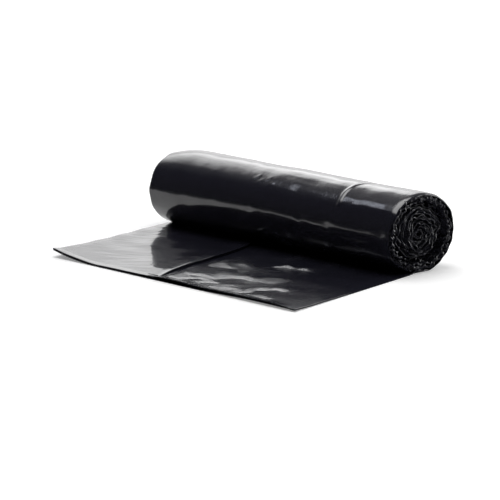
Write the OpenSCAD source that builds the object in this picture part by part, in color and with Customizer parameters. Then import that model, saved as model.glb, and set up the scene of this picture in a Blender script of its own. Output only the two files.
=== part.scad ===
// Bin bag roll that lies on its side: one long film of joined sacks, folded in from
// both sides, wound on itself without a core, with its lead length on the floor.
// The axis of the roll is along X and the lead points to -Y. The floor is Z = 0,
// and the origin is on the floor under the middle of the roll.

/* [Roll] */
// Length of the wound film along the axis
roll_length = 450; // [250:5:700]
// Height of the roll as it lies
roll_height = 106; // [70:1:160]
// Width of the sagged roll from front to back
roll_width = 119; // [80:1:180]
// Width of the flat spot that the soft roll rests on
rest_flat = 28; // [8:1:40]
// Height of the crease that crosses the top of the roll
crease_height = 0.8; // [0:0.1:2]
// Distance of that crease from the near end
crease_from_end = 104; // [60:1:160]
// Height of the slack waves along the outer turn
slack_height = 0.6; // [0:0.1:2]
// Depth by which the top of the far end sags
far_sag = 7; // [0:0.5:10]

/* [Wound ends] */
// Bundles of film between the eye and the rim
turns = 10; // [5:1:12]
// Depth of the groove between two bundles
groove_depth = 3; // [0.5:0.1:5]
// Depth of the open gap between the outer turns and the inner bundle
gap_depth = 14; // [4:0.5:20]
// Depth at which the inner bundle lies behind the rim
bundle_depth = 5; // [1:0.5:12]
// Depth of the eye in the middle
eye_depth = 10; // [4:0.5:20]
// Depth of the crumpled outer turns behind the rim
ring_depth = 1; // [0:0.5:6]
// Depth of the groove just inside the rim
rim_groove = 4; // [0:0.5:8]
// Depth by which the near end's outer turns step back at the lower front
terrace_depth = 4; // [0:0.5:8]
// Height of the crumple in the edges of the film
crumple_height = 1.2; // [0:0.1:2.5]
// Share by which the inner turns are squeezed out of round
squeeze = 0.1; // [0:0.01:0.14]
// Angle by which the near end leans back at the front
end_lean = 5.7; // [0:0.1:10]

/* [Lead] */
// Length of film that is unrolled, from the flat spot to its front edge
lead_length = 254; // [120:2:400]
// Thickness of the lead: the film with both its folded-in sides
lead_thickness = 1.7; // [0.8:0.1:3]
// Height by which the loose layers stand apart at the front edge
hem_height = 1.3; // [0:0.1:3]
// Length of lead over which they do
hem_width = 16; // [5:1:30]
// Angle by which the lead runs askew
lead_skew = 6; // [0:0.5:12]
// Angle of the lead's far side, which runs a little more askew
far_skew = 7.6; // [0:0.2:12]
// Angle by which the front edge is out of square, longer at the far side
front_skew = 0.7; // [0:0.1:3]
// Height to which the far corner curls up
curl_height = 9; // [0:0.5:25]
// Width of the curled strip along the far side
curl_width = 80; // [30:1:90]
// Height of the ripples in the lead
ripple_height = 0.8; // [0:0.1:2.5]
// Distance from one ripple to the next
ripple_pitch = 62; // [40:1:100]

/* [Crevice] */
// Distance from the far end of the roll to the crevice between the folded-in sides, at the lead's front
crevice_from_end = 228; // [120:1:270]
// Angle by which the crevice leans from the square
crevice_lean = 7.6; // [0:0.1:12]
// Distance by which it turns aside under the roll
crevice_sweep = 14; // [0:1:20]
// Width of the crevice where it is widest
crevice_width = 6.5; // [2:0.5:12]
// Share of the lead's thickness that the crevice cuts away
crevice_share = 0.5; // [0.2:0.05:0.7]
// Height by which the far side stands up along the crevice
crevice_rise = 3; // [0:0.1:4]

/* [Hidden] */

film_colour = "#17181f";

// Columns round the roll, some of them on the flat spot, and rings for each bundle of the wound ends
around = 36;
flat_columns = 3;
samples = 4;
rings = samples * turns;
// Columns on each side of the crevice, and rows along the lead
far_columns = 8;
near_columns = 12;
lead_rows = 13;
// Share of the radius at each change of depth in a wound end
eye_share = 0.12;
bundle_share = 0.58;
gap_share = 0.71;
ring_start = 0.81;
ring_end = 0.93;
groove_share = 0.965;
// The inner turns are pressed out of round in two and in three lobes, which turn with the spiral
oval_lobes = 2;
oval_turn = 50;
third_lobes = 3;
lobe_turn = 200;
lobe_part = 0.6;
// Crumple: waves round a wound end, how far they shift from ring to ring, and the finer waves' part
coarse_waves = 5;
coarse_shift = 67;
fine_waves = 11;
fine_shift = -41;
fine_part = 0.7;
side_shift = 90;
// The crumple fades over this share of the radius at the rim
crumple_fade = 0.125;
// Where the outer turns step back, as an angle round the near end, and how far round that reaches
terrace_angle = 292;
terrace_reach = 34;
// Slack waves along the roll, and the crease's place round it, reach and width
slack_waves = 3;
crease_angle = 205;
crease_reach = 28;
crease_width = 9;
// Where the far end sags: its angle, how far round it reaches and how far along the roll
sag_angle = 158;
sag_reach = 48;
sag_length = 47;
// The curl steepens towards the far side and towards the front
curl_steepness = 1.7;
curl_growth = 2.4;
// Lead in front of the flat spot that stays flat, and the stretches over which relief comes and goes
flat_lead = 8;
relief_start = 40;
relief_end = 30;
// Ripples swing to and fro along the lead by this angle, with this many swings
ripple_swing = 110;
ripple_swings = 0.83;
// The crevice closes towards the front over this share of the lead, down to a hairline
closing_share = 0.25;
crevice_hairline = 0.4;
// The foot of each wall, as a share of the crevice's width
lip_shares = [0.2, 0.8];
// The far side's rise fades over this distance from the crevice, and the sweep over this one
rise_fade = 30;
sweep_fade = 22;
// The crevice starts its sweep where it comes out in front of the roll, and is straight again under it
sweep_start = 19;
sweep_limit = 9.5;

// The floor cuts the oval of the roll over the width of the flat spot
rest_angle = asin(rest_flat / roll_width);
oval_half = roll_height / (1 + cos(rest_angle));
axis_height = oval_half * cos(rest_angle);
// The outermost turn thins to the lead's thickness where it leaves the roll
lead_share = lead_thickness / axis_height;

function lerp(a, b, t) = a + (b - a) * t;
function ease(t) = let (c = min(max(t, 0), 1)) c * c * (3 - 2 * c);
function bell(t) = exp(-t * t);

// Angle of a column, from straight down towards the back, where the film goes up
function column_angle(j) = j <= flat_columns
    ? rest_angle * (2 * j / flat_columns - 1)
    : lerp(rest_angle, 360 - rest_angle, (j - flat_columns) / (around - flat_columns));

// Outline of the roll from its axis: an oval with a flat spot
function outline(a) = [
    roll_width / 2 * sin(a),
    max(-axis_height, -oval_half * cos(a))
];

// Share of the far end's sag at a distance from that end
function sag(from_end, a) =
    1 - far_sag / roll_height * pow(max(0, 1 - from_end / sag_length), 2) * bell((a - sag_angle) / sag_reach);

// Outer turn: it keeps the flat spot, then spirals inwards by the lead's thickness
function rim_point(j) =
    outline(column_angle(j)) * (1 - lead_share * max(0, j - flat_columns) / (around - flat_columns));

// The spiral: ring k moves inwards by one bundle in each turn
function spiral(k, j) = k + samples * (1 - j / around);
function radius_share(u) = u > rings
    ? 1 - lead_share * (rings + samples - u) / samples
    : (1 - lead_share) * u / rings;

// 1 half way between the eye and the rim, and 0 at both of them
function mid_share(r) = 4 * r * (1 - r);

// Place of a spiral point from the roll's axis, with the inner turns out of round
function across(k, j) =
    let (
        a = column_angle(j),
        r = radius_share(spiral(k, j)),
        out_of_round = mid_share(r) * squeeze,
        wobble = 1 + out_of_round * (sin(oval_lobes * a + oval_turn) + lobe_part * sin(third_lobes * a + lobe_turn * r))
    )
    k == rings ? rim_point(j) : outline(a) * r * wobble;

// Depth of a wound end behind its rim
function end_depth(r) = lookup(r, [
    [0, eye_depth],
    [eye_share, bundle_depth],
    [bundle_share, bundle_depth],
    [gap_share, gap_depth],
    [ring_start, ring_depth],
    [ring_end, ring_depth],
    [groove_share, rim_groove],
    [1, 0]
]);
function groove(k) = groove_depth * (0.5 + 0.5 * cos(360 * k / samples));
function crumple(k, a, side) =
    crumple_height * (sin(coarse_waves * a + coarse_shift * k + side_shift * side)
        + fine_part * sin(fine_waves * a + fine_shift * k));
function terrace(r, a, side) =
    side > 0
        ? terrace_depth * bell((a - terrace_angle) / terrace_reach) * ease((r - ring_start) / (1 - ring_start))
        : 0;

// Plane of each rim: the near one leans back at the front, the far one is square
function rim_x(y, side) = side > 0
    ? roll_length / 2 + y * tan(end_lean)
    : -roll_length / 2;

function end_point(k, j, side) =
    let (
        a = column_angle(j),
        r = radius_share(spiral(k, j)),
        p = across(k, j) * (side < 0 ? sag(0, a) : 1),
        inside = k < rings ? 1 : 0,
        relief = groove(k) + crumple(k, a, side) * ease((1 - r) / crumple_fade) + terrace(r, a, side)
    )
    [rim_x(p[0], side) - side * inside * max(0, end_depth(r) + relief), p[0], p[1] + axis_height];

// Columns along the roll: four of them lie close together at the crevice of the lead
crevice_centre = (crevice_from_end - lead_length * tan(crevice_lean) - crevice_sweep) / roll_length;
crevice_half = crevice_width / 2 / roll_length;
columns = concat(
    [for (i = [0:far_columns]) (crevice_centre - crevice_half) * i / far_columns],
    [for (share = lip_shares) crevice_centre + crevice_half * (2 * share - 1)],
    [for (i = [0:near_columns]) lerp(crevice_centre + crevice_half, 1, i / near_columns)]
);
last = len(columns) - 1;

// How far the outer turn stands out of its oval at a place along the roll
function bulge(s, a) =
    let (
        x = s * roll_length,
        upper = max(0, -cos(a)),
        crease = bell((x - roll_length + crease_from_end) / crease_width)
            * bell((a - crease_angle) / crease_reach),
        slack = sin(360 * slack_waves * s + a)
    )
    upper * sin(180 * s) * (slack_height * slack + crease_height * crease);

function side_point(i, j) =
    let (
        a = column_angle(j),
        s = columns[i],
        o = rim_point(j),
        p = o * (1 + bulge(s, a) / norm(o)) * sag(s * roll_length, a)
    )
    [lerp(rim_x(p[0], -1), rim_x(p[0], 1), s), p[0], p[1] + axis_height];

// Lead: the film that lies on the floor, d in front of the flat spot
function left_x(d) = rim_x(-rest_flat / 2, -1) + d * tan(far_skew);
function right_x(d) = rim_x(-rest_flat / 2, 1) + d * tan(lead_skew);
function crevice_x(d) =
    -roll_length / 2 + crevice_from_end - (lead_length - d) * tan(crevice_lean)
    - crevice_sweep * exp((sweep_start - max(d, sweep_limit)) / sweep_fade);
function opening(d) =
    max(crevice_hairline, crevice_width * ease((1 - d / lead_length) / closing_share));
function lead_x(i, d) =
    let (
        from = crevice_x(d) - opening(d) / 2,
        to = crevice_x(d) + opening(d) / 2,
        n = i - far_columns
    )
    n <= 0 ? lerp(left_x(d), from, i / far_columns)
    : n <= len(lip_shares) ? lerp(from, to, lip_shares[n - 1])
    : lerp(to, right_x(d), (n - 1 - len(lip_shares)) / near_columns);

// The lead gets longer towards its far side
function ahead(i, d) = d * (1 + (right_x(d) - lead_x(i, d)) / lead_length * tan(front_skew));

// Relief of the lead: a curled far corner, low ripples, and the far side's rise at the crevice
function curl(i, d) =
    let (in_strip = max(0, 1 - (lead_x(i, d) - left_x(d)) / curl_width))
    curl_height * pow(in_strip, curl_steepness) * pow(d / lead_length, curl_growth);
function comes_and_goes(d) = ease((d - flat_lead) / relief_start) * ease((lead_length - d) / relief_end);
function ripple(i, d) =
    let (swing = ripple_swing * sin(360 * ripple_swings * columns[i]))
    ripple_height * comes_and_goes(d) * (0.5 + 0.5 * sin(360 * d / ripple_pitch + swing));
function rise(i, d) =
    i > far_columns ? 0
    : crevice_rise * comes_and_goes(d) * bell((crevice_x(d) - opening(d) / 2 - lead_x(i, d)) / rise_fade);
function hem(d) = hem_height * ease(1 - (lead_length - d) / hem_width);
function cut(i, d) =
    i > far_columns && i <= far_columns + len(lip_shares)
        ? lead_thickness * crevice_share * ease((d - flat_lead) / relief_start)
        : 0;
function lead_point(i, r, top) =
    let (
        d = lead_length * r / lead_rows,
        layers = lead_thickness + ripple(i, d) + rise(i, d) + hem(d)
    )
    [
        lead_x(i, d),
        -rest_flat / 2 - ahead(i, d),
        curl(i, d) + (!top ? 0 : cut(i, d) > 0 ? lead_thickness - cut(i, d) : layers)
    ];

// Numbers of the points: two wound ends, the outer turn between them, then the lead
end_count = around * (rings + 1) + samples;
function end_id(k, j, side) =
    (side > 0 ? end_count : 0)
    + (j < around ? j * (rings + 1) + k
        : k >= samples ? k - samples
        : around * (rings + 1) + k);
side_base = 2 * end_count;
function side_id(i, j) =
    i == 0 ? end_id(rings, j, -1)
    : i == last ? end_id(rings, j, 1)
    : side_base + (i - 1) * (around + 1) + j;
top_base = side_base + (last - 1) * (around + 1);
bottom_base = top_base + lead_rows * (last + 1);
function top_id(i, r) = r == 0 ? side_id(i, around) : top_base + (r - 1) * (last + 1) + i;
function bottom_id(i, r) = r == 0 ? side_id(i, 0) : bottom_base + (r - 1) * (last + 1) + i;

// Two triangles for four corners, and the same ones turned round for the far side
function pair(a, b, c, d) = [[a, b, c], [a, c, d]];
function facing(side, faces) = side > 0 ? faces : [for (f = faces) [f[2], f[1], f[0]]];

function end_points(side) = concat(
    [for (j = [0:around - 1]) for (k = [0:rings]) end_point(k, j, side)],
    [for (k = [0:samples - 1]) end_point(k, around, side)]
);
function end_faces(side) = facing(side, concat(
    [for (j = [0:around - 1]) for (k = [0:rings - 1])
        each pair(end_id(k, j, side), end_id(k, j + 1, side),
            end_id(k + 1, j + 1, side), end_id(k + 1, j, side))],
    [for (j = [1:around - 2])
        [end_id(0, around, side), end_id(0, j + 1, side), end_id(0, j, side)]],
    [for (k = [0:samples - 1])
        [end_id(0, 1, side), end_id(k + 1, around, side), end_id(k, around, side)]]
));

// The lead's edge at each end starts on the step of the outermost turn
function edge_faces(side) =
    let (i = side > 0 ? last : 0)
    facing(side, concat(
        [for (k = [rings - samples:rings - 1])
            [top_id(i, 1), end_id(k, 0, side), end_id(k + 1, 0, side)]],
        [[top_id(i, 1), bottom_id(i, 0), bottom_id(i, 1)]],
        [for (r = [1:lead_rows - 1])
            each pair(top_id(i, r), bottom_id(i, r), bottom_id(i, r + 1), top_id(i, r + 1))]
    ));

module bag_roll() {
    color(film_colour)
        polyhedron(
            points = concat(
                end_points(-1),
                end_points(1),
                [for (i = [1:last - 1]) for (j = [0:around]) side_point(i, j)],
                [for (r = [1:lead_rows]) for (i = [0:last]) lead_point(i, r, true)],
                [for (r = [1:lead_rows]) for (i = [0:last]) lead_point(i, r, false)]
            ),
            faces = concat(
                end_faces(-1),
                end_faces(1),
                [for (i = [0:last - 1]) for (j = [0:around - 1])
                    each pair(side_id(i, j), side_id(i + 1, j),
                        side_id(i + 1, j + 1), side_id(i, j + 1))],
                [for (i = [0:last - 1]) for (r = [0:lead_rows - 1])
                    each pair(top_id(i, r), top_id(i + 1, r),
                        top_id(i + 1, r + 1), top_id(i, r + 1))],
                [for (i = [0:last - 1]) for (r = [0:lead_rows - 1])
                    each pair(bottom_id(i, r), bottom_id(i, r + 1),
                        bottom_id(i + 1, r + 1), bottom_id(i + 1, r))],
                [for (i = [0:last - 1])
                    each pair(top_id(i, lead_rows), top_id(i + 1, lead_rows),
                        bottom_id(i + 1, lead_rows), bottom_id(i, lead_rows))],
                edge_faces(-1),
                edge_faces(1)
            )
        );
}

bag_roll();
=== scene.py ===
# Bin bag roll: black blown film, wound on itself without a core, with its lead length on the floor.
import math
import bpy
import numpy as np
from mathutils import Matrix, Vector


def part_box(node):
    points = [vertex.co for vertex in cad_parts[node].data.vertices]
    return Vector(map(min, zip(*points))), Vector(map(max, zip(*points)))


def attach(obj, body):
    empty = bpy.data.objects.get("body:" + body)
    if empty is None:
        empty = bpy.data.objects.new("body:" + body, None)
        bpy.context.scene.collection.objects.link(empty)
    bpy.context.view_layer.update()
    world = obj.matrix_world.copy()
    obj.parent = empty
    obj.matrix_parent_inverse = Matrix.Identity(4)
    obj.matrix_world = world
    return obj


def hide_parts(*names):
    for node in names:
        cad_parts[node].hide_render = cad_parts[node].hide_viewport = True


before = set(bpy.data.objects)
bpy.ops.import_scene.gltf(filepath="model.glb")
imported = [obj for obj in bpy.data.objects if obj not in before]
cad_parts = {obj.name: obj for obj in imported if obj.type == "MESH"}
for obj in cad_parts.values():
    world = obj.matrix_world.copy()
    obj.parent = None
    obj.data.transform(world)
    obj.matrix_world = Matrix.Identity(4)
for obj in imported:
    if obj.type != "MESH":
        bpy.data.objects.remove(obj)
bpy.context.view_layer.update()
rollLow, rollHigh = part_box("bag_roll")


# Camera and stage

cameraView = {
    "azimuth": 43.3,          # degrees, the camera stands in front of the near end
    "elevation": 12.9,
    "distance": 3.943,        # from the rest point of the roll
    "lens": 210.1,            # long studio lens on a 36 mm sensor
    "aimRight": -0.0613,      # the picture's centre, seen from the rest point
    "aimUp": -0.0061,
}


def makeCamera(view):
    azimuth = math.radians(view["azimuth"])
    elevation = math.radians(view["elevation"])
    back = Vector((
        math.sin(azimuth) * math.cos(elevation),
        -math.cos(azimuth) * math.cos(elevation),
        math.sin(elevation),
    ))
    right = Vector((math.cos(azimuth), math.sin(azimuth), 0))
    aim = right * view["aimRight"] + back.cross(right) * view["aimUp"]
    bpy.ops.object.camera_add(location=back * view["distance"])
    camera = bpy.context.object
    camera.data.lens = view["lens"]
    camera.data.clip_end = 100
    camera.rotation_mode = "QUATERNION"
    camera.rotation_quaternion = (aim - camera.location).to_track_quat("-Z", "Y")
    bpy.context.scene.camera = camera


def linearColour(hexColour):
    channels = [int(hexColour[i:i + 2], 16) / 255 for i in (1, 3, 5)]
    linear = [c / 12.92 if c <= 0.04045 else ((c + 0.055) / 1.055) ** 2.4 for c in channels]
    return (*linear, 1)


def addNode(tree, kind, settings=None, inputs=None, links=None):
    node = tree.nodes.new(kind)
    for name, value in (settings or {}).items():
        setattr(node, name, value)
    for socket, value in (inputs or {}).items():
        node.inputs[socket].default_value = value
    for socket, source in (links or {}).items():
        tree.links.new(source, node.inputs[socket])
    return node


def fadeNode(tree, source, start, end, low=0.0, high=1.0):
    # Soft change from low to high while the source goes from start to end
    values = {"From Min": start, "From Max": end, "To Min": low, "To Max": high}
    fade = addNode(tree, "ShaderNodeMapRange", {"interpolation_type": "SMOOTHSTEP"}, values,
                   {"Value": source})
    return fade.outputs[0]


def productNode(tree, first, second):
    node = addNode(tree, "ShaderNodeMath", {"operation": "MULTIPLY"}, links={0: first})
    if isinstance(second, float):
        node.inputs[1].default_value = second
    else:
        tree.links.new(second, node.inputs[1])
    return node.outputs[0]


def newMaterial(name):
    material = bpy.data.materials.new(name)
    material.use_nodes = True
    material.node_tree.nodes.clear()
    return material, material.node_tree


stage = {
    "floorColour": "#f4f4f4",
    "floorSize": 14,
    "floorLift": (0.27, 1.0),           # how much of its white the camera sees by itself, near and far
    "farFloor": (0.45, 1.60),           # distances of near and far
    "paintedPoolGlow": 0.22,                 # and the glow that reflections alone see, in a painted pool of light round the roll
    "paintedPoolMiddle": (-0.32, -0.16, 0.0),
    "paintedPoolRadius": (0.24, 0.40),         # full painted light, no painted light
    "frontSide": (0.6, -1.0, 0.0),      # towards the front and right reflections see painted shade on the floor outside the pool,
    "frontFade": (-0.10, 0.12),         # from here to here that way
    "paintedShadePaper": 0.10,                 # what a reflection sees of its white under the painted shade
    "wallSide": (-0.35, 0.94, 0.0),     # the white back wall stands behind the roll
    "wallTurn": (-0.10, 0.60),          # where it begins and where it is at its whitest
    "wallWhite": 1.28,
    "wallFoot": 0.60,                   # share of the wall's white at the floor
    "footFade": (-0.02, 0.14),
    "wallTop": 0.22,                    # and overhead
    "topFade": (0.30, 0.72),
    "frontDark": 0.03,                  # the studio behind the camera is dark
}


def makeFloor():
    bpy.ops.mesh.primitive_plane_add(size=stage["floorSize"], location=(0, 0, 0))
    floor = bpy.context.object
    floor.name = "studio_floor"
    material, tree = newMaterial("white_paper_floor")
    paperColour = linearColour(stage["floorColour"])
    paths = addNode(tree, "ShaderNodeLightPath")
    reflected = paths.outputs["Is Glossy Ray"]
    place = addNode(tree, "ShaderNodeTexCoord").outputs["Object"]
    offset = addNode(tree, "ShaderNodeVectorMath", {"operation": "DISTANCE"}, {1: stage["paintedPoolMiddle"]},
                     {0: place}).outputs["Value"]
    inner, outer = stage["paintedPoolRadius"]
    # Painted light: only reflections see the paper glow, in a pool round the roll
    inPaintedPool = productNode(tree, reflected, fadeNode(tree, offset, outer, inner))
    # Painted shade: in front of the roll a reflection sees little of the paper outside the painted pool of
    # light
    beyondPaintedPool = addNode(tree, "ShaderNodeMath", {"operation": "SUBTRACT"}, links={0: reflected, 1: inPaintedPool})
    across = addNode(tree, "ShaderNodeVectorMath", {"operation": "DOT_PRODUCT"}, {1: stage["frontSide"]},
                     {0: place}).outputs["Value"]
    outside = productNode(tree, beyondPaintedPool.outputs[0], fadeNode(tree, across, *stage["frontFade"]))
    dim = [channel * stage["paintedShadePaper"] for channel in paperColour[:3]]
    seen = addNode(tree, "ShaderNodeMix", {"data_type": "RGBA"}, {"A": paperColour, "B": (*dim, 1)},
                   {"Factor": outside})
    white = fadeNode(tree, offset, *stage["farFloor"], *stage["floorLift"])
    # The camera sees the paper's own white lift; reflections also see the painted pool's glow
    lift = addNode(tree, "ShaderNodeMath", {"operation": "MULTIPLY_ADD"},
                   links={0: paths.outputs["Is Camera Ray"], 1: white,
                          2: productNode(tree, inPaintedPool, stage["paintedPoolGlow"])})
    paper = addNode(tree, "ShaderNodeBsdfDiffuse", links={"Color": seen.outputs[2]})
    glow = addNode(tree, "ShaderNodeEmission", inputs={"Color": paperColour},
                   links={"Strength": lift.outputs[0]})
    both = addNode(tree, "ShaderNodeAddShader", links={0: paper.outputs[0], 1: glow.outputs[0]})
    addNode(tree, "ShaderNodeOutputMaterial", links={"Surface": both.outputs[0]})
    floor.data.materials.append(material)


def makeWorld():
    world = bpy.data.worlds.new("studio")
    bpy.context.scene.world = world
    world.use_nodes = True
    tree = world.node_tree
    tree.nodes.clear()
    paths = addNode(tree, "ShaderNodeLightPath")
    heading = addNode(tree, "ShaderNodeTexCoord").outputs["Generated"]
    towards = addNode(tree, "ShaderNodeVectorMath", {"operation": "DOT_PRODUCT"}, {1: stage["wallSide"]},
                      {0: heading}).outputs["Value"]
    height = addNode(tree, "ShaderNodeSeparateXYZ", links={0: heading}).outputs["Z"]
    wall = fadeNode(tree, towards, *stage["wallTurn"], stage["frontDark"], stage["wallWhite"])
    foot = fadeNode(tree, height, *stage["footFade"], stage["wallFoot"], 1)
    top = fadeNode(tree, height, *stage["topFade"], 1, stage["wallTop"])
    level = productNode(tree, wall, productNode(tree, foot, top))
    # The camera itself sees plain white paper in every direction
    shown = addNode(tree, "ShaderNodeMix", {"data_type": "FLOAT"}, {"B": 1.0},
                    {"Factor": paths.outputs["Is Camera Ray"], "A": level})
    sky = addNode(tree, "ShaderNodeBackground", inputs={"Color": (1, 1, 1, 1)},
                  links={"Strength": shown.outputs[0]})
    addNode(tree, "ShaderNodeOutputWorld", links={"Surface": sky.outputs[0]})


softboxes = {
    # Lights the whole table from above
    "overhead_softbox": {
        "place": (-0.5, -0.1, 2.4), "aim": (-0.5, -0.1, 0), "size": (2.4, 2.4), "power": 82,
    },
    # Its lower edge is the lower edge of the light band on the roll
    "back_softbox": {
        "place": (-1.5, 1.0, 1.17), "aim": (0, 1.0, 1.17), "size": (2.3, 1.05), "power": 15.5,
    },
    # Cold strip, the bluish streak below the band
    "strip_softbox": {
        "place": (-1.40, -0.38, 1.9), "aim": (-1.40, -0.38, 0), "size": (0.20, 0.8), "power": 2.0,
        "colour": (0.84, 0.88, 1.0),
    },
    # Picks out the crumpled near end
    "end_softbox": {
        "place": (1.05, 1.40, 1.00), "aim": (0.22, 0, 0.05), "size": (1.9, 1.6), "power": 25,
    },
}
clothFade = (0.5, 0.22)       # from a softbox's edge inwards, as a share of its size


def makeSoftbox(name, place, aim, size, power, colour=(1, 1, 1)):
    bpy.ops.object.light_add(type="AREA", location=place)
    lamp = bpy.context.object
    lamp.name = name
    lamp.data.shape = "RECTANGLE"
    lamp.data.size, lamp.data.size_y = size
    lamp.data.energy = power
    lamp.data.color = colour
    lamp.rotation_mode = "QUATERNION"
    lamp.rotation_quaternion = (Vector(aim) - Vector(place)).to_track_quat("-Z", "Y")
    lamp.visible_camera = False
    # The cloth of a softbox is brightest in its middle and fades to its edges
    lamp.data.use_nodes = True
    tree = lamp.data.node_tree
    tree.nodes.clear()
    surface = addNode(tree, "ShaderNodeNewGeometry")
    edges = addNode(tree, "ShaderNodeSeparateXYZ", links={0: surface.outputs["Parametric"]})
    fades = []
    for axis in ("X", "Y"):
        centred = addNode(tree, "ShaderNodeMath", {"operation": "SUBTRACT"}, {1: 0.5},
                          {0: edges.outputs[axis]})
        offset = addNode(tree, "ShaderNodeMath", {"operation": "ABSOLUTE"}, links={0: centred.outputs[0]})
        fades.append(fadeNode(tree, offset.outputs[0], *clothFade))
    glow = addNode(tree, "ShaderNodeEmission", links={"Strength": productNode(tree, *fades)})
    addNode(tree, "ShaderNodeOutputLight", links={"Surface": glow.outputs[0]})


makeCamera(cameraView)
bpy.context.scene.view_settings.view_transform = "Standard"
makeFloor()
makeWorld()
for name, box in softboxes.items():
    makeSoftbox(name, **box)
print("camera and stage are set")


# Sizes that every piece of film shares, in metres. Angles run from straight down, towards the back.

film = {
    "height": rollHigh.z,         # of the roll as it lies
    "width": 2 * rollHigh.y,      # front to back, sagged
    "length": -2 * rollLow.x,     # along the roll
    "reach": 0.268,               # from the roll's axis to the lead's front edge, at its near side
    "restFlat": 0.028,            # flat spot under the roll
    "lean": 5.7,                  # degrees, the near end leans back at the front
    "skew": 6.0,                  # degrees, the lead runs askew
    "farSkew": 9.0,               # its far side a little more
    "frontSkew": 0.7,             # degrees, its front edge is out of square
}
restAngle = math.asin(film["restFlat"] / film["width"])
ovalHalf = film["height"] / (1 + math.cos(restAngle))
axisHeight = ovalHalf * math.cos(restAngle)
meanRadius = (film["height"] + film["width"]) / 4
flapLength = film["reach"] - film["restFlat"] / 2


def bell(t):
    return np.exp(-t * t)


def smoothStep(t):
    t = np.clip(t, 0, 1)
    return t * t * (3 - 2 * t)


def fadeIn(value, place):
    # 0 up to the first number of place, then up to 1 over the second
    start, width = place
    return smoothStep((value - start) / width)


def waves(a, b, pitch, seed, count=9):
    # Random swell over two surface coordinates, about 1 high, with pitch as its usual wavelength
    chance = np.random.default_rng(seed)
    total = np.zeros_like(a * 1.0)
    for _ in range(count):
        heading, stretch, phase = chance.uniform((0, 0.7, 0), (math.pi, 1.5, 2 * math.pi))
        steps = (a * math.cos(heading) + b * math.sin(heading)) / (pitch * stretch)
        total += np.sin(2 * math.pi * steps + phase)
    return total / math.sqrt(count / 2)


def streaks(a, b, heading, length, width, seed):
    # Long wrinkles side by side, running at heading degrees to the first coordinate
    turn = math.radians(heading)
    ahead = (a * math.cos(turn) + b * math.sin(turn)) / length
    aside = (b * math.cos(turn) - a * math.sin(turn)) / width
    return waves(ahead, aside, 1.0, seed)


def wrinkle(a, b, path, height, width, taper=0.0):
    # One raised wrinkle along a path of points; taper lowers it towards both of its ends
    nearest = np.full_like(a * 1.0, 1e6)
    progress = np.zeros_like(nearest)
    for i, ((a0, b0), (a1, b1)) in enumerate(zip(path, path[1:])):
        along = ((a - a0) * (a1 - a0) + (b - b0) * (b1 - b0)) / ((a1 - a0) ** 2 + (b1 - b0) ** 2)
        along = np.clip(along, 0, 1)
        reach = np.hypot(a - a0 - along * (a1 - a0), b - b0 - along * (b1 - b0))
        progress = np.where(reach < nearest, (i + along) / (len(path) - 1), progress)
        nearest = np.minimum(nearest, reach)
    return height * bell(nearest / width) * (1 - taper * (2 * progress - 1) ** 2)


def outline(angle):
    # The oval of the roll's outside, from its axis, with the flat spot that it rests on
    return film["width"] / 2 * np.sin(angle), np.maximum(-axisHeight, -ovalHalf * np.cos(angle))


def nearRim(y):
    return film["length"] / 2 + y * math.tan(math.radians(film["lean"]))


def filmGrid(name, columns, rows):
    bpy.ops.object.select_all(action="DESELECT")
    bpy.ops.mesh.primitive_grid_add(x_subdivisions=columns, y_subdivisions=rows, size=1)
    sheet = bpy.context.object
    sheet.name = name
    flat = np.empty(len(sheet.data.vertices) * 3)
    sheet.data.vertices.foreach_get("co", flat)
    flat = flat.reshape(-1, 3)
    return sheet, flat[:, 0] + 0.5, flat[:, 1] + 0.5


def layPoints(sheet, x, y, z):
    places = np.stack([x, y, z], 1)
    sheet.data.vertices.foreach_set("co", places.ravel())
    sheet.data.update()


def markCrinkled(sheet, values):
    # The film's material reads this: 1 where the film keeps a fine crinkle and gets the lighter crinkled
    # colour, which is partly painted sheen, 0 where it is smooth
    crinkled = sheet.data.attributes.new("crinkled", "FLOAT", "POINT")
    crinkled.data.foreach_set("value", values)


def thicken(sheet, thickness, share=None, roundness=0.0):
    # Gives the sheet its two faces; share scales the thickness, point by point
    count = len(sheet.data.vertices)
    bpy.ops.object.select_all(action="DESELECT")
    sheet.select_set(True)
    bpy.context.view_layer.objects.active = sheet
    wall = sheet.modifiers.new("wall", "SOLIDIFY")
    wall.thickness = thickness
    wall.offset = 0
    wall.use_even_offset = False
    bpy.ops.object.modifier_apply(modifier="wall")
    if share is not None:
        places = np.empty(6 * count)
        sheet.data.vertices.foreach_get("co", places)
        faces = places.reshape(2, count, 3)
        middle = faces.mean(0)
        faces = middle + (faces - middle) * share[:, None]
        sheet.data.vertices.foreach_set("co", faces.ravel())
    if roundness:
        edge = sheet.modifiers.new("rounded_edge", "BEVEL")
        edge.width = roundness
        edge.segments = 2
        edge.limit_method = "ANGLE"
        edge.angle_limit = math.radians(60)
        bpy.ops.object.modifier_apply(modifier="rounded_edge")
    bpy.ops.object.mode_set(mode="EDIT")
    bpy.ops.mesh.select_all(action="SELECT")
    bpy.ops.mesh.normals_make_consistent(inside=False)
    bpy.ops.object.mode_set(mode="OBJECT")
    bpy.ops.object.shade_smooth_by_angle(angle=math.radians(50))


# The lead's lie on the floor: askew, with a curled far corner and low ripples

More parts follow.
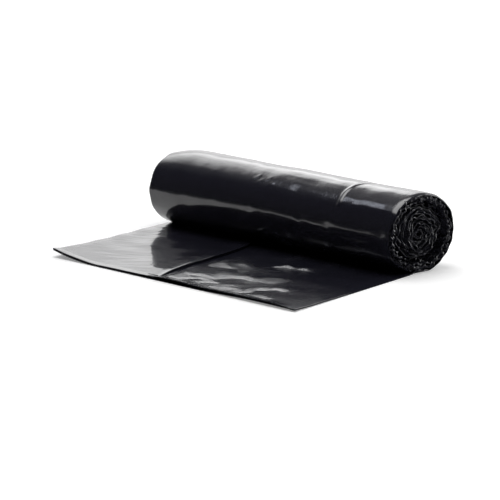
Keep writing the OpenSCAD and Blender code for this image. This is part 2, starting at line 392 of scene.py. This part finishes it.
flap = {
    "curlHeight": 0.0085,
    "curlWidth": 0.080,
    "curlPowers": (1.7, 2.4),  # how steeply it rises across and along the flap
    "edgeLift": 0.0005,        # the far side lifts a little off the floor,
    "edgeWidth": 0.030,
    "edgeFrom": 0.08,          # once it is this far ahead of the roll
    "rippleHeight": 0.00020,
    "ripplePitch": 0.052,
    "rippleFrom": 0.06,
    "hemLift": 0.0002,
    "hemPitch": 0.09,
    "cornerLift": 0.0024,      # the near corner lifts off the floor, from this far along the roll
    "cornerPlace": (0.08, 0.10),
    "hemGap": 0.0014,          # the layers stand apart at the front edge,
    "hemWidth": 0.016,         # this far back from it,
    "hemMiddle": 0.050,        # and twice as far right of the crevice
    "hemSpread": 0.066,
    "hemClosed": 0.05,         # they close towards the near side
    "pressed": 0.5,            # the near side loses this share of the lead's thickness
    "pressedWidth": 0.02,
    "pressedFrom": 0.03,
}


def flapEdges(ahead):
    left = -film["length"] / 2 + ahead * math.tan(math.radians(film["farSkew"]))
    return left, nearRim(-film["restFlat"] / 2) + ahead * math.tan(math.radians(film["skew"]))


def stretched(x, ahead):
    # The lead is a little longer towards its far side
    return ahead * (1 + (flapEdges(ahead)[1] - x) / flapLength * math.tan(math.radians(film["frontSkew"])))


def flapLie(x, ahead):
    # How far the flap's underside is off the floor
    left = flapEdges(ahead)[0]
    toFront = ahead / flapLength
    strip = np.clip(1 - (x - left) / flap["curlWidth"], 0, None)
    aside, forward = flap["curlPowers"]
    lie = flap["curlHeight"] * strip ** aside * toFront ** forward
    edge = np.clip(1 - (x - left) / flap["edgeWidth"], 0, None)
    lie += flap["edgeLift"] * edge ** 1.5 * smoothStep(ahead / flap["edgeFrom"])
    ripple = (waves(x, ahead * 1.4, flap["ripplePitch"], 41) + 1.6).clip(0)
    ripple = ripple * smoothStep(ahead / flap["rippleFrom"]) * (1 - toFront ** 6)
    lie += flap["rippleHeight"] * ripple
    lie += flap["cornerLift"] * fadeIn(x, flap["cornerPlace"]) * toFront ** 5
    return lie + flap["hemLift"] * toFront ** 4 * (1 + 0.5 * waves(x, 0 * x, flap["hemPitch"], 42))


def leadThickness(x, ahead):
    # Pressed thin along the near side
    right = flapEdges(ahead)[1]
    thin = smoothStep(1 - (right - x) / flap["pressedWidth"]) * smoothStep(ahead / flap["pressedFrom"])
    return lead["thickness"] * (1 - flap["pressed"] * thin)


def hemGap(x, ahead):
    # The layers stand apart at the front edge
    right = flapEdges(ahead)[1]
    opened = smoothStep(1 - (flapLength - ahead) / flap["hemWidth"])
    opened = opened * smoothStep((right - x) / flap["hemClosed"])
    uneven = 1 + 0.10 * waves(x, 0 * x, flap["hemPitch"], 43)
    uneven = uneven + bell((x - flap["hemMiddle"]) / flap["hemSpread"])
    return flap["hemGap"] * opened * uneven


# The lead film: flat on the floor, then up and once round the roll, where it is the roll's outside

lead = {
    "columns": 224,
    "rows": 212,
    "flapRows": 0.20,          # share of the rows on the floor,
    "hemRows": 0.03,           # and in its hem
    "edgeColumns": (0.045, 0.020),   # columns at each edge, and the share of the width that they take
    "turn": 382,               # degrees round the roll before the film tucks in
    "thickness": 0.0009,
    "tuck": 0.965,             # share of the radius that is left after one turn,
    "tuckTurns": 1.06,         # and the turns after which it shrinks no further
    "reliefFrom": (0.25, 0.5),       # radians past the floor, where the marks on the roll set in
    "reliefEnd": (0.1, 0.3),         # and before the whole turn, where they end
    "lipWidth": 0.006,         # the end of the outer turn rounds inwards
    "lipDepth": 0.0030,
    "lipRound": 0.98,
    "lipUneven": 0.16,
    "lipPitch": 0.03,
    "farLip": 0.5,             # less so at the far end
    "shoulder": 1.0,           # by how much more it rounds where it catches the light
    "shoulderPlace": (222, 16),      # degrees round the roll, and how far that reaches
    "ragged": 0.0006,          # how unevenly it ends,
    "raggedPitch": 0.022,
    "raggedWidth": 0.03,       # which pulls at the film this far from its edge
    "terrace": 0.004,          # the near end steps back low at the front
    "terracePlace": (292, 34),
    "terraceLip": 0.6,         # where it rounds by this share less
    "taper": 0.13,             # the far end's top sags
    "taperPlace": (158, 48),
    "taperFrom": -0.178,       # along the roll
    "taperWidth": 0.047,
    "crinkle": 0.06,
}

# Marks on the outside of the roll: a place is (metres along the roll, degrees round it)
bodyMarks = {
    "swell": [(0.00028, 0.12, 11), (0.00006, 0.036, 12)],    # height, pitch and seed
    "bandPlace": (0.045, 208),    # here long soft wrinkles break up the light band
    "bandSize": (0.075, 0.016),
    "bandHeight": 0.00008,
    "wrinkleHeight": 0.00003,
    "wrinkleRun": (4, 0.10, 0.011, 13),      # heading in degrees, length, width and seed
    "crease": [(0.137, 172), (0.127, 183), (0.121, 194), (0.119, 214), (0.122, 236)],
    "creaseHeight": 0.0009,
    "creaseWidth": 0.0022,
    "fold": [(0.127, 226), (0.165, 229), (0.219, 231)],
    "foldHeight": 0.0003,
    "foldWidth": 0.009,
    "kinks": [(-0.033, 266), (0.109, 268), (0.060, 262), (0.205, 265)],
    "kinkHeight": -0.0005,
    "kinkWidth": 0.007,
    "scratches": [(-0.042, 221), (-0.031, 226), (-0.022, 222), (-0.012, 229)],
    "scratchRun": (0.007, -0.008),
    "scratchHeight": 0.00036,
    "scratchWidth": 0.0016,
}


def roundArc(degrees):
    return np.radians(degrees) * meanRadius


def nearAngle(degrees, place):
    return bell((degrees - place[0]) / place[1])


def farSag(x, degrees):
    # The top of the far end sags, as a share of the radius
    fromEnd = np.clip((lead["taperFrom"] - x) / lead["taperWidth"], 0, None)
    return lead["taper"] * fromEnd ** 2 * nearAngle(degrees, lead["taperPlace"])


def bodyRelief(x, angle):
    arc = angle * meanRadius
    relief = sum(height * waves(x, arc, pitch, seed) for height, pitch, seed in bodyMarks["swell"])
    (bandX, bandAngle), (bandLength, bandWidth) = bodyMarks["bandPlace"], bodyMarks["bandSize"]
    band = bell((x - bandX) / bandLength) * bell((arc - roundArc(bandAngle)) / bandWidth)
    level = bodyMarks["wrinkleHeight"] + bodyMarks["bandHeight"] * band
    relief += level * streaks(x, arc, *bodyMarks["wrinkleRun"])
    path = [(x0, roundArc(a0)) for x0, a0 in bodyMarks["crease"]]
    relief += wrinkle(x, arc, path, bodyMarks["creaseHeight"], bodyMarks["creaseWidth"])
    path = [(x0, roundArc(a0)) for x0, a0 in bodyMarks["fold"]]
    relief += wrinkle(x, arc, path, bodyMarks["foldHeight"], bodyMarks["foldWidth"])
    for x0, a0 in bodyMarks["kinks"]:
        reach = np.hypot(x - x0, arc - roundArc(a0)) / bodyMarks["kinkWidth"]
        relief += bodyMarks["kinkHeight"] * bell(reach)
    runX, runArc = bodyMarks["scratchRun"]
    for x0, a0 in bodyMarks["scratches"]:
        path = [(x0, roundArc(a0)), (x0 + runX, roundArc(a0) + runArc)]
        relief += wrinkle(x, arc, path, bodyMarks["scratchHeight"], bodyMarks["scratchWidth"])
    return relief


def makeLead():
    sheet, across, along = filmGrid("lead_film", lead["columns"], lead["rows"])
    wrapLength = math.radians(lead["turn"]) * meanRadius
    run = np.interp(along, [0, lead["hemRows"], lead["flapRows"], 1],
                    [-flapLength, flap["hemWidth"] - flapLength, 0, wrapLength])
    onFloor = run < 0
    ahead = np.clip(-run, 0, None)
    # More columns at both edges, where the film rounds in
    column, margin = lead["edgeColumns"]
    across = np.interp(across, [0, column, 1 - column, 1], [0, margin, 1 - margin, 1])

    # Round the roll
    turned = math.radians(lead["turn"]) * np.clip(run, 0, None) / wrapLength
    angle = turned - restAngle
    degrees = np.degrees(angle)
    radiusShare = 1 - (1 - lead["tuck"]) * np.clip(turned / (2 * math.pi), 0, lead["tuckTurns"])
    left = -film["length"] / 2
    right = nearRim(outline(angle)[0])
    x = left + (right - left) * across
    radiusShare -= farSag(x, degrees)
    end, width = lead["reliefEnd"]
    level = fadeIn(turned, lead["reliefFrom"]) * smoothStep((2 * math.pi - end - turned) / width)
    radial = bodyRelief(x, angle) * level
    terrace = nearAngle(degrees, lead["terracePlace"])
    nearLip = 1 + lead["shoulder"] * nearAngle(degrees, lead["shoulderPlace"])
    for side, edge, lip, opened in ((1, right - x, nearLip, terrace), (-1, x - left, lead["farLip"], 0)):
        bend = np.clip(1 - edge / (lead["lipWidth"] * lip), 0, 1)
        uneven = 1 + lead["lipUneven"] * waves(angle * meanRadius, 0 * x, lead["lipPitch"], 21 + side)
        deep = lead["lipDepth"] * uneven * (1 - lead["terraceLip"] * opened)
        radial -= deep * (1 - np.sqrt(1 - lead["lipRound"] * bend ** 2))
        ragged = lead["ragged"] * waves(angle * meanRadius, 0 * x, lead["raggedPitch"], 31 + side)
        pulled = smoothStep(1 - edge / lead["raggedWidth"])
        x = x + side * (ragged - lead["terrace"] * opened) * pulled
    size = radiusShare + radial / meanRadius
    y, z = (part * size for part in outline(angle))
    z = np.maximum(z, -axisHeight + lead["thickness"] / 2)

    # Along the floor
    flapLeft, flapRight = flapEdges(ahead)
    flapX = flapLeft + (flapRight - flapLeft) * across
    thick = leadThickness(flapX, ahead)
    flapZ = thick / 2 + flapLie(flapX, ahead)
    flapY = -film["restFlat"] / 2 - stretched(flapX, ahead)

    layPoints(sheet, np.where(onFloor, flapX, x), np.where(onFloor, flapY, y),
              np.where(onFloor, flapZ, z + axisHeight))
    markCrinkled(sheet, np.where(onFloor, 0.0, lead["crinkle"]))
    thicken(sheet, lead["thickness"], share=np.where(onFloor, thick / lead["thickness"], 1))
    return sheet


# The folded-in sides of the sack: two panels lie on the flap and meet in a dark crevice near its middle

panels = {
    "thickness": 0.0007,
    "gapFront": 0.003,         # where the crevice meets the front edge
    "gapSlant": 0.1334,        # how far it runs aside for each metre ahead
    "gapSweep": 0.014,         # the crevice turns away under the roll
    "sweepPlace": (0.033, 0.022),
    "gapWidth": 0.0115,        # the crevice's width half way
    "gapLeast": 0.0013,        # and at the front edge
    "gapFade": 0.25,           # share of the flap over which it closes,
    "riseFade": 0.3,           # and over which the folds along it sink
    "standOff": 0.0001,        # between the panels and the lead,
    "clearance": 0.00005,      # and no less than this where they lie on it
    "back": 0.022,             # how far the panels start in front of the roll's axis
    "setback": 0.0010,         # their front edges lie a little behind the lead's
    "foldColumns": 0.05,       # share of the columns that go round each fold
    "creviceTurn": 0.6,        # half turns round the fold at the crevice, which ends on the lead
    "foldTurn": 1.3,           # and round the lead's edge, where the rest runs on below
    "underRun": 0.008,         # metres for each radian past half a turn
    "bend": 0.0002,            # how far the folds along the crevice bulge
    "bendHeight": 0.0011,      # half their height
    "edgeBend": 0.0006,        # and at the lead's edges
    "foldShoulder": 2.2,       # how soon a fold bulges fully
    "hemFrom": 0.86,           # the near panel's hem rises from this share of the lead's length,
    "hemPlace": (0.028, 0.035),      # here along the roll
    "swellPitch": 0.060,
    "plain": 0.03,             # crinkle of the smooth film
    "crinkledFrom": 0.00002,   # and the height from which the wrinkles are crinkled, with painted sheen on their crests
    "crinkledRise": 0.0006,
    # Low streaks in the film: share of the swell's height, heading in degrees, length, width, seed
    "broadStreaks": (0.30, -24, 0.14, 0.016, 52),
    "fineStreaks": (0.04, -20, 0.05, 0.006, 53),
    "spikeStreaks": (-34, 0.07, 0.012, 54),
    "flatter": 0.7,            # the low streaks lose this share towards the near side,
    "flatterPlace": (0.11, 0.07),    # here along the roll
    "warp": 0.0040,            # how far the wrinkles waver
    "warpPitches": (0.045, 0.040),
    "uneven": (0.85, 0.30, 0.030),   # their height: mean, how much it varies, and its pitch
    "taper": 0.75,
    "reliefEdges": (0.05, 0.06),     # share of the panel over which all of it sinks to both folds
}
farPanel = {
    "name": "far_panel", "columns": 120, "rows": 130, "side": -1, "flatWidth": 0.210,
    "foldRise": 0.0030, "riseWidth": 0.036, "hemRise": 0.0,
    "swell": 0.00010, "spikes": 0.00003, "crinkle": 0.0,
    "wrinkles": [],
}
nearPanel = {
    "name": "near_panel", "columns": 190, "rows": 170, "side": 1, "flatWidth": 0.271,
    "foldRise": -0.0006, "riseWidth": 0.012, "hemRise": 0.0012,
    "swell": 0.00006, "spikes": 0.00003, "crinkle": 0.95,
    # Raised wrinkles: a path in metres along the roll and ahead of its axis, height, width
    "wrinkles": [
        ([(-0.014, 0.160), (0.024, 0.150), (0.066, 0.136)], 0.0019, 0.0120),
        ([(0.003, 0.226), (0.030, 0.218), (0.066, 0.204)], 0.0011, 0.0080),
        ([(0.004, 0.244), (0.038, 0.236), (0.072, 0.228)], 0.0012, 0.0070),
        ([(0.040, 0.205), (0.088, 0.187), (0.134, 0.166)], 0.0013, 0.0100),
        ([(0.094, 0.250), (0.136, 0.246)], 0.0010, 0.0070),
        ([(0.136, 0.240), (0.150, 0.216), (0.172, 0.196)], 0.0012, 0.0070),
        ([(0.158, 0.252), (0.198, 0.247)], 0.0007, 0.0060),
        ([(0.074, 0.112), (0.086, 0.109), (0.100, 0.110)], 0.0026, 0.0042),
        ([(0.096, 0.105), (0.112, 0.103), (0.126, 0.102)], 0.0024, 0.0040),
    ],
}


def creviceX(ahead):
    straight = panels["gapFront"] - panels["gapSlant"] * (film["reach"] - ahead)
    start, fade = panels["sweepPlace"]
    return straight - panels["gapSweep"] * np.exp(-(ahead - start) / fade)


def panelRelief(panel, x, y, ahead, fromFold):
    relief = panel["swell"] * (waves(x, ahead * 1.2, panels["swellPitch"], 51) + 1.5).clip(0)
    part, *run = panels["broadStreaks"]
    relief += panel["swell"] * part * (streaks(x, ahead, *run) + 1).clip(0)
    relief += panel["spikes"] * (streaks(x, ahead, *panels["spikeStreaks"]) + 1).clip(0)
    relief *= 1 - panels["flatter"] * fadeIn(x, panels["flatterPlace"])
    part, *run = panels["fineStreaks"]
    relief += panel["swell"] * part * (streaks(x, ahead, *run) + 1).clip(0)
    # Nothing in soft film is straight: the wrinkles waver and their heights vary
    pitchX, pitchY = panels["warpPitches"]
    warpedX = x + panels["warp"] * waves(x, ahead, pitchX, 55)
    warpedY = -y + panels["warp"] * waves(x, ahead, pitchY, 56)
    mean, spread, pitch = panels["uneven"]
    uneven = mean + spread * waves(x, ahead, pitch, 57)
    for path, height, width in panel["wrinkles"]:
        relief += wrinkle(warpedX, warpedY, path, height, width, panels["taper"]) * uneven
    inside, outside = panels["reliefEdges"]
    return relief * smoothStep(fromFold / inside) * smoothStep((1 - fromFold) / outside)


def foldDown(x, z, part, way, bulge, half, turn, lowest):
    # Bends the columns where part is above 0 outwards, down and, past half a turn, back below
    bend = np.clip(part, 0, 1) * turn * math.pi
    fold = np.minimum(bend, math.pi)
    under = np.clip(bend - math.pi, 0, None) * panels["underRun"]
    foldedX = x + way * (bulge * np.minimum(panels["foldShoulder"] * np.sin(fold), 1) - under)
    foldedZ = np.maximum(z - half * (1 - np.cos(fold)), lowest + panels["thickness"] / 2)
    return np.where(part > 0, foldedX, x), np.where(part > 0, foldedZ, z)


def makePanel(panel):
    sheet, across, along = filmGrid(panel["name"], panel["columns"], panel["rows"])
    side = panel["side"]
    rest = film["restFlat"] / 2
    back = panels["back"] - rest
    front = flapLength - panels["setback"]
    ahead = back + (front - back) * along
    # The crevice is nearly closed at the front edge and widest half way
    toFront = ahead / flapLength
    opening = panels["gapWidth"] * smoothStep((1.0 - toFront) / panels["gapFade"])
    opening = np.maximum(opening, panels["gapLeast"])
    inner = creviceX(ahead + rest) + side * opening / 2
    outer = flapEdges(ahead)[1 if side > 0 else 0]
    # The first columns go round the fold at the crevice, the last ones round the lead's edge
    foldShare = panels["foldColumns"]
    fromFold = np.clip((across - foldShare) / (1 - 2 * foldShare), 0, 1)
    x = inner + (outer - inner) * fromFold
    y = -rest - stretched(x, ahead)
    relief = panelRelief(panel, x, y, ahead, fromFold)
    # Raised wrinkles are crinkled, and their crests get the lighter crinkled colour as painted sheen
    raised = smoothStep((relief - panels["crinkledFrom"]) / panels["crinkledRise"])
    markCrinkled(sheet, panels["plain"] + panel["crinkle"] * raised)
    rise = panel["foldRise"] * bell((x - inner) / panel["riseWidth"])
    rise = rise * smoothStep((1.0 - toFront) / panels["riseFade"])
    hemX, hemSpread = panels["hemPlace"]
    hem = panel["hemRise"] * smoothStep((toFront - panels["hemFrom"]) / (1 - panels["hemFrom"]))
    hem = hem * bell((x - hemX) / hemSpread)
    leadTop = flapLie(x, ahead) + leadThickness(x, ahead)
    z = leadTop + hemGap(x, ahead) + panels["thickness"] / 2 + panels["standOff"] + relief + rise + hem
    onLead = leadTop + panels["clearance"]
    z = np.maximum(z, onLead + panels["thickness"] / 2)
    tall = panels["bendHeight"] + rise.clip(0) / 2
    part = 1 - across / foldShare
    x, z = foldDown(x, z, part, -side, panels["bend"], tall, panels["creviceTurn"], onLead)
    part = 1 - (1 - across) / foldShare
    x, z = foldDown(x, z, part, side, panels["edgeBend"], panels["edgeBend"], panels["foldTurn"], 0)
    layPoints(sheet, x, y, np.maximum(z, panels["thickness"] / 2))
    thicken(sheet, panels["thickness"])
    return sheet


# The wound turns inside: one strip of film, whose crumpled edges show at both ends of the roll

# Share of the radius after each whole turn from the lead inwards: the turns lie in loose pairs
ringShares = [0.968, 0.940, 0.910, 0.880, 0.850, 0.820, 0.795, 0.740, 0.690]
bundleShares = [0.690, 0.610, 0.585, 0.535, 0.507, 0.430, 0.402, 0.325, 0.297, 0.215, 0.187, 0.100, 0.060]

ring = {
    "columns": 24,
    "startTurn": 1.06,
    "rowLength": 0.00128,
    "thickness": 0.0017,
    "roundness": 0.00075,
    "crumple": 0.0013,         # long waves of the turns at the ends
    "crumplePitch": 0.015,
    "flutter": 0.0007,         # and short ones of their edges
    "flutterPitch": 0.008,
    "ragged": 0.0018,          # how unevenly the edges end
    "raggedPitch": 0.009,
    "crinkle": 0.5,
}
bundle = dict(ring, startTurn=8.0, rowLength=0.0010, thickness=0.0011, roundness=0.0004,
              crumple=0.0009, crumplePitch=0.030, flutter=0.0003, flutterPitch=0.014, ragged=0.0010,
              raggedPitch=0.014, crinkle=1.0)

# How the loose bundle inside lies, and how far the turns end inside the roll's ends
wound = {
    "looseFrom": 0.70,         # share of the radius inside which the turns lie loose
    "looseWidth": 0.25,
    "toBack": 0.0065,          # they lie towards the back,
    "lobe": 0.0045,            # with one lobe more at the back
    "lobePlace": (0.004, 0.011),
    "lobeFrom": 0.02,
    "sway": 0.0026,
    "swayPitches": (0.055, 0.050),
    "kinks": [(0.021, 0.002, -0.0065), (-0.017, 0.0135, 0.0040)],   # sharp folds: Y, Z, how far they push
    "kinkWidth": 0.006,
    "spiralSteps": 4000,       # points at which the spiral's length is summed
    "edgePower": 2.6,          # crowds the columns at the ends
    "crumpleStretch": (0.9, 1.3),    # round the spiral and across its turns
    "crumpleReach": 0.012,     # how far in from the ends the crumple dies away,
    "flutterReach": 0.005,     # and the flutter of the edges
    "pressedFrom": 0.93,       # outside this share of the radius the turns crumple inwards only
    "underLead": 0.0005,       # the outermost turn lies this far under the lead, and follows its dents
    "underPlace": (0.89, 0.04),
    "depthShares": [0.04, 0.30, 0.58, 0.63, 0.70, 0.76, 0.81, 0.90, 0.93, 0.96, 1.0],
    "depths": [0.010, 0.008, 0.008, 0.010, 0.016, 0.015, 0.0020, 0.0010, 0.001, 0.004, 0.006],
    "outerDepth": 0.0050,      # the outermost turns end behind the rounded lip
    "outerPlace": (0.90, 0.05),
    "terrace": 0.005,          # the near end steps back low at the front
    "terracePlace": (0.80, 0.18),
    "waver": 0.0012,
    "waverPitch": 0.07,
    "loose": 0.30,             # the turns are loosely folded, so their thickness varies,
    "loosePitch": 0.045,
    "looseLimits": (0.6, 1.5),       # between these shares of it
    "endsApart": 0.3,          # keeps both ends from looking alike
    "flutterApart": 0.05,
    "middleSpan": 0.25,        # the unseen middle of the strip is drawn in to this share of its width
}


def windTurns(name, shares, firstTurn, settings):
    # A strip that follows the spiral from its start turn to the end of shares
    turns = np.arange(len(shares)) + firstTurn
    fine = np.linspace(settings["startTurn"], turns[-1], wound["spiralSteps"])
    size = np.interp(fine, turns, shares) * meanRadius
    length = np.concatenate([[0], np.cumsum((size[1:] + size[:-1]) / 2 * np.diff(fine) * 2 * math.pi)])
    rows = int(length[-1] / settings["rowLength"])
    sheet, across, along = filmGrid(name, settings["columns"], rows)
    travelled = along * length[-1]
    turned = np.interp(travelled, length, fine)
    angle = turned * 2 * math.pi - restAngle
    degrees = np.degrees(angle) % 360
    share = np.interp(turned, turns, shares)
    span = 2 * across - 1
    side = np.where(span < 0, -1.0, 1.0)
    fromEdge = (1 - np.abs(span)) ** wound["edgePower"] * film["length"] / 2
    near = np.exp(-fromEdge / wound["crumpleReach"])
    y, z = (part * share for part in outline(angle))

    # The bundle inside is loose: pushed to the back, in uneven lobes with two sharp folds
    pull = smoothStep((wound["looseFrom"] - share) / wound["looseWidth"])
    lobeZ, lobeWidth = wound["lobePlace"]
    lobe = wound["lobe"] * bell((z - lobeZ) / lobeWidth) * np.clip(y / wound["lobeFrom"], 0, 1)
    y = y + pull * (wound["toBack"] + lobe)
    sway = pull * (0.5 + 0.5 * near) * wound["sway"]
    pitchY, pitchZ = wound["swayPitches"]
    y, z = y + sway * waves(y, z, pitchY, 61), z + sway * waves(y, z, pitchZ, 62)
    for foldY, foldZ, depth in wound["kinks"]:
        reach = np.hypot(y - foldY, z - foldZ)
        z = z + pull * near * depth * np.exp(-reach / wound["kinkWidth"])

    # Crumpled edges
    radius = np.hypot(y, z) + 1e-6        # never 0, as it divides below
    roundWay, acrossWay = wound["crumpleStretch"]
    crumple = waves(angle * meanRadius * roundWay, share * meanRadius * acrossWay,
                    settings["crumplePitch"], 63)
    push = settings["crumple"] * near * crumple
    flutter = waves(travelled, side * wound["flutterApart"], settings["flutterPitch"], 64)
    push += settings["flutter"] * np.exp(-fromEdge / wound["flutterReach"]) * flutter
    push = np.where(share > wound["pressedFrom"], np.minimum(push, 0.0), push)
    dents = np.minimum(bodyRelief(span * film["length"] / 2, angle % (2 * math.pi)), 0)
    push = push + (dents - wound["underLead"]) * fadeIn(share, wound["underPlace"])
    y, z = y * (1 + push / radius), z * (1 + push / radius)

    # How far inside the roll's ends the edges lie
    terrace = nearAngle(degrees, lead["terracePlace"]) * fadeIn(share, wound["terracePlace"]) * (side > 0)
    depth = np.interp(share, wound["depthShares"], wound["depths"]) + wound["terrace"] * terrace
    end = side * wound["endsApart"]
    depth = depth + settings["ragged"] * waves(travelled, end, settings["raggedPitch"], 65)
    depth = depth + wound["waver"] * waves(travelled, end, wound["waverPitch"], 66)
    depth = np.maximum(depth, wound["outerDepth"] * fadeIn(share, wound["outerPlace"]))
    half = film["length"] / 2
    x = np.where(side < 0, depth + fromEdge - half, nearRim(y) - depth - fromEdge)
    middle = np.clip(fromEdge / half, 0, 1) ** 2
    x = x * (1 - middle) + span * half * wound["middleSpan"] * middle
    sag = 1 - farSag(x, degrees)
    lowest = lead["thickness"] + settings["thickness"] / 2 - axisHeight
    layPoints(sheet, x, y * sag, np.maximum(z * sag, lowest) + axisHeight)
    # The turns at the ends get the lighter crinkled colour: crinkled film, and painted fill light in the
    # shade inside the roll's ends
    markCrinkled(sheet, np.full(len(x), settings["crinkle"]))
    loose = 1 + wound["loose"] * waves(travelled, end, wound["loosePitch"], 67)
    loose = np.clip(loose, *wound["looseLimits"])
    thicken(sheet, settings["thickness"], loose, settings["roundness"])
    return sheet


# The film's look: glossy black polyethylene over a faint haze, smooth in some places, crinkled and painted
# lighter in others

filmLook = {
    "smooth": {
        "colour": "#1d1d26",       # blue-black masterbatch
        "bodyIndex": 1.17,         # faint haze inside the film, below its gloss
        "roughness": 0.055,
    },
    # Crinkled film is whitened a little and spreads what it mirrors; its lighter colour is also painted
    # sheen on the wrinkles' crests and painted fill light on the turns inside the roll's ends
    "crinkled": {
        "colour": "#2c2c34",
        "bodyIndex": 1.34,
        "roughness": 0.28,
    },
    "haze": (0.20, 0.30),      # roughness of the body, at its clearest and at its haziest
    "hazeScale": 28.0,
    "glossIndex": 1.55,        # polyethylene's own gloss
    "puckerScale": 95.0,       # facets of about 10 mm
    "puckerHeight": 0.0006,
    "pucker": 0.25,
    "crinkleScale": 420.0,     # facets of about 2 mm
    "crinkleHeight": 0.0010,
    "crinkleTurn": -46,        # degrees, it runs along the wrinkles
    "crinkleStretch": (1.0, 0.35, 1.0),
}


def filmMaterial():
    material, tree = newMaterial("black_blown_polyethylene_film")
    place = addNode(tree, "ShaderNodeTexCoord").outputs["Object"]
    # Fine pucker of thin film: soft facets that make its reflections waver
    pucker = addNode(tree, "ShaderNodeTexNoise",
                     inputs={"Scale": filmLook["puckerScale"], "Detail": 3.0, "Roughness": 0.55,
                             "Distortion": 0.6},
                     links={"Vector": place})
    puckered = addNode(tree, "ShaderNodeBump",
                       inputs={"Strength": filmLook["pucker"], "Distance": filmLook["puckerHeight"]},
                       links={"Height": pucker.outputs["Fac"]})
    # Where the film was pulled about it keeps a fine crinkle, which greys its reflections
    grain = addNode(tree, "ShaderNodeMapping",
                    inputs={"Rotation": (0, 0, math.radians(filmLook["crinkleTurn"])),
                            "Scale": filmLook["crinkleStretch"]},
                    links={"Vector": place})
    crinkle = addNode(tree, "ShaderNodeTexNoise",
                      inputs={"Scale": filmLook["crinkleScale"], "Detail": 2.0, "Roughness": 0.6},
                      links={"Vector": grain.outputs[0]})
    pulled = addNode(tree, "ShaderNodeAttribute", {"attribute_name": "crinkled"})
    skinBump = addNode(tree, "ShaderNodeBump", inputs={"Distance": filmLook["crinkleHeight"]},
                       links={"Height": crinkle.outputs["Fac"], "Strength": pulled.outputs["Fac"],
                              "Normal": puckered.outputs[0]})
    # Handling leaves a slightly uneven haze
    haze = addNode(tree, "ShaderNodeTexNoise", inputs={"Scale": filmLook["hazeScale"], "Detail": 5.0},
                   links={"Vector": place})
    low, high = filmLook["haze"]
    uneven = addNode(tree, "ShaderNodeMapRange", inputs={"To Min": low, "To Max": high},
                     links={"Value": haze.outputs["Fac"]})
    bumped = skinBump.outputs[0]
    skins = []
    for look in (filmLook["smooth"], filmLook["crinkled"]):
        skins.append(addNode(tree, "ShaderNodeBsdfPrincipled", inputs={
            "Base Color": linearColour(look["colour"]),
            "IOR": look["bodyIndex"],
            "Coat Weight": 1.0,
            "Coat Roughness": look["roughness"],
            "Coat IOR": filmLook["glossIndex"],
        }, links={"Roughness": uneven.outputs[0], "Normal": bumped, "Coat Normal": bumped}))
    # The crinkled mark mixes in the lighter, rougher copy: whitened film and painted sheen
    surface = addNode(tree, "ShaderNodeMixShader",
                      links={0: pulled.outputs["Fac"], 1: skins[0].outputs[0], 2: skins[1].outputs[0]})
    addNode(tree, "ShaderNodeOutputMaterial", links={"Surface": surface.outputs[0]})
    return material


blackFilm = filmMaterial()
pieces = [
    makeLead(),
    makePanel(farPanel),
    makePanel(nearPanel),
    windTurns("outer_turns", ringShares, 0, ring),
    windTurns("inner_turns", bundleShares, bundle["startTurn"], bundle),
]
for piece in pieces:
    piece.data.materials.append(blackFilm)
    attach(piece, "root")
    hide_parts("bag_roll")
    print(piece.name, len(piece.data.polygons), "faces")
print("the film is wound")
